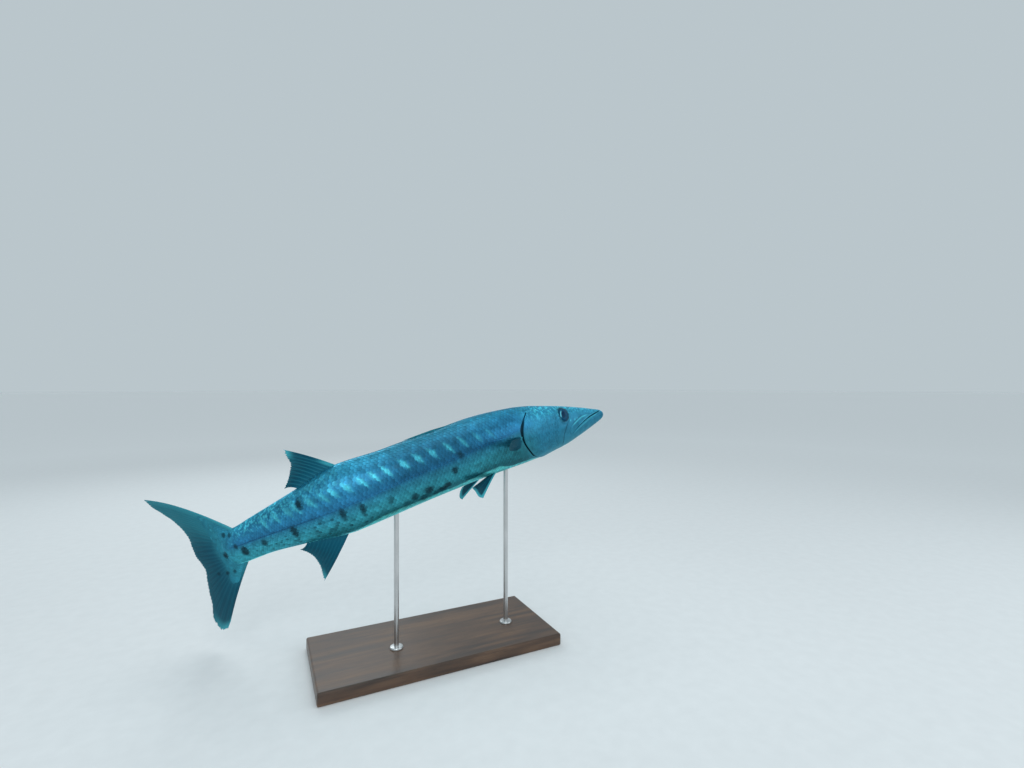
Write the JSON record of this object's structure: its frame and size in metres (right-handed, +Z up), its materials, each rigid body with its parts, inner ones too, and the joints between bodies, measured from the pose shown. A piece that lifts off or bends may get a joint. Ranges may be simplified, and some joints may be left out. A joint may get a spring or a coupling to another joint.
{
  "type": "barracuda model",
  "caption": "Life-size great barracuda, nose up and bent as it swims, held above a flat base by two steel rods.",
  "frame": {"origin": "centre of the underside of the stand's base, where it rests on the floor", "axes": "+X the way the middle of the trunk heads, seen from above, +Y to the fish's left, +Z up"},
  "size_m": [0.9101, 0.3522, 0.4548],
  "materials": {
    "skin": "scaled silver, steel blue above and pale green silver below, with dark blotches",
    "fin": "dark teal membrane with paler rays and edges",
    "eye": "clear gloss over a dark pupil and a dark teal ring, pale along its rear edge",
    "base_wood": "dark satin varnish",
    "rod_steel": "brushed"
  },
  "bodies": {
    "root": {"head": "skin", "lower_jaw": "skin", "gill_cover_left": "skin", "gill_cover_right": "skin", "trunk_front": "skin", "trunk_middle": "skin", "trunk_rear": "skin", "tail_stem": "skin", "eye_left": "eye", "eye_right": "eye", "dorsal_fin_first": "fin", "dorsal_fin_second": "fin", "anal_fin": "fin", "caudal_fin_upper": "fin", "caudal_fin_middle": "fin", "caudal_fin_lower": "fin", "pectoral_fin_left": "fin", "pectoral_fin_right": "fin", "pelvic_fin_left": "fin", "pelvic_fin_right": "fin", "stand_base": "base_wood", "stand_rod_front": "rod_steel", "stand_rod_rear": "rod_steel"}
  },
  "joints": []
}
